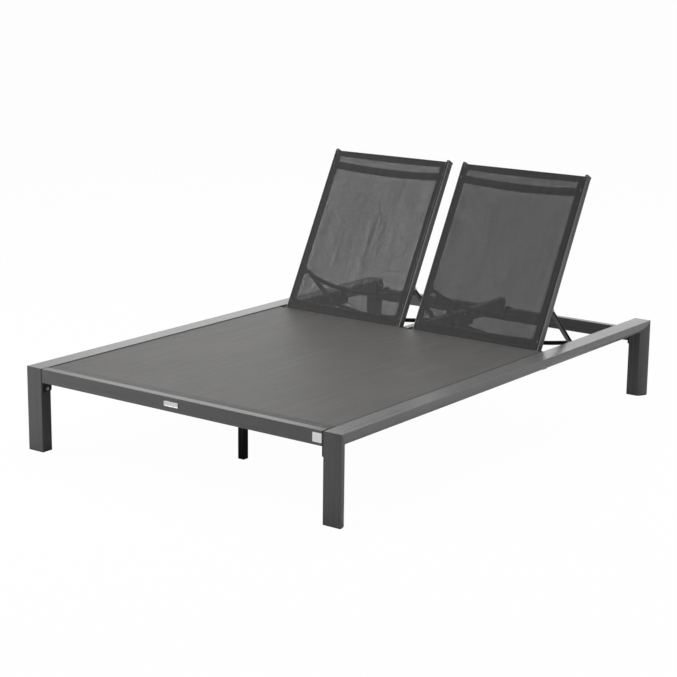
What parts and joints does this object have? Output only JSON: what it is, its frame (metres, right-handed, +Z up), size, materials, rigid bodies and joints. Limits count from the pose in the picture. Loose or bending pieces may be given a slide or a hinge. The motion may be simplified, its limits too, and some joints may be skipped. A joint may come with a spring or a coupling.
{
  "type": "double chaise lounger",
  "caption": "Low double sun lounger with a stretched mesh seat and two mesh backrests that recline on propped racks.",
  "frame": {"origin": "on the ground under the middle of the lounger, bottom centre of its box", "axes": "+X to the right as seen from the foot end, +Y towards the head end, +Z up"},
  "size_m": [1.33, 2, 0.8892],
  "materials": {
    "frame_paint": "anthracite powder coat, satin, on aluminium",
    "black_paint": "black powder coat, satin",
    "bolt_steel": "zinc-plated steel",
    "bare_aluminium": "satin aluminium",
    "black_plastic": "moulded black plastic",
    "black_rubber": "black rubber",
    "bush_plastic": "dark acetal",
    "spline_plastic": "extruded plastic rod",
    "seat_mesh": "dark woven textile mesh, close weave",
    "back_mesh": "dark woven textile mesh, slightly see-through",
    "label_film": "blank white film"
  },
  "bodies": {
    "frame": {"side_rail_right": "frame_paint", "side_rail_left": "frame_paint", "leg_front_right": "frame_paint", "leg_front_left": "frame_paint", "leg_rear_right": "frame_paint", "leg_rear_left": "frame_paint", "leg_glides": "black_plastic", "corner_keys": "bare_aluminium", "front_rail": "frame_paint", "rear_rail": "frame_paint", "end_plates": "frame_paint", "frame_bolts": "bolt_steel", "centre_rail": "frame_paint", "centre_rail_caps": "black_plastic", "seat_crossbar": "frame_paint", "seat_brace": "black_paint", "centre_leg": "black_paint", "centre_leg_foot": "black_plastic", "seat_sling": "seat_mesh", "seat_splines": "spline_plastic", "name_plate": "bare_aluminium", "blank_label": "label_film", "pivot_bolts": "bolt_steel", "pivot_spacers": "black_paint", "side_rack_right": "black_paint", "side_rack_left": "black_paint", "centre_racks": "black_paint", "rack_screws": "bolt_steel", "rest_bumpers": "black_rubber"},
    "backrest_right": {"stile_outer_right": "frame_paint", "stile_inner_right": "frame_paint", "stile_caps_right": "black_plastic", "top_bar_right": "frame_paint", "head_bar_right": "frame_paint", "bottom_bar_right": "frame_paint", "back_sling_right": "back_mesh", "back_splines_right": "spline_plastic", "pivot_bushes_right": "bush_plastic", "prop_brackets_right": "frame_paint", "hinge_pins_right": "bolt_steel"},
    "prop_right": {"prop_arm_outer_right": "frame_paint", "prop_arm_inner_right": "frame_paint", "prop_cross_bar_right": "frame_paint", "foot_rod_right": "black_paint"},
    "backrest_left": {"stile_outer_left": "frame_paint", "stile_inner_left": "frame_paint", "stile_caps_left": "black_plastic", "top_bar_left": "frame_paint", "head_bar_left": "frame_paint", "bottom_bar_left": "frame_paint", "back_sling_left": "back_mesh", "back_splines_left": "spline_plastic", "pivot_bushes_left": "bush_plastic", "prop_brackets_left": "frame_paint", "hinge_pins_left": "bolt_steel"},
    "prop_left": {"prop_arm_outer_left": "frame_paint", "prop_arm_inner_left": "frame_paint", "prop_cross_bar_left": "frame_paint", "foot_rod_left": "black_paint"}
  },
  "joints": [
    {"name": "backrest_right_recline", "type": "hinge", "parent": "frame", "child": "backrest_right", "pos_m": [0.30075, 0.3159, 0.2795], "axis": [1, 0, 0], "range_deg": [-61.92, 0]},
    {"name": "prop_right_swing", "type": "hinge", "parent": "backrest_right", "child": "prop_right", "pos_m": [0.30075, 0.4235, 0.41852], "axis": [1, 0, 0], "range_deg": [0, 106.2]},
    {"name": "backrest_left_recline", "type": "hinge", "parent": "frame", "child": "backrest_left", "pos_m": [-0.30075, 0.3159, 0.2795], "axis": [1, 0, 0], "range_deg": [-61.92, 0]},
    {"name": "prop_left_swing", "type": "hinge", "parent": "backrest_left", "child": "prop_left", "pos_m": [-0.30075, 0.4235, 0.41852], "axis": [1, 0, 0], "range_deg": [0, 106.2]}
  ],
  "couplings": [
    {"joint": "prop_right_swing", "follows": "backrest_right_recline", "ratio": -1.7147},
    {"joint": "prop_left_swing", "follows": "backrest_left_recline", "ratio": -1.7147}
  ]
}
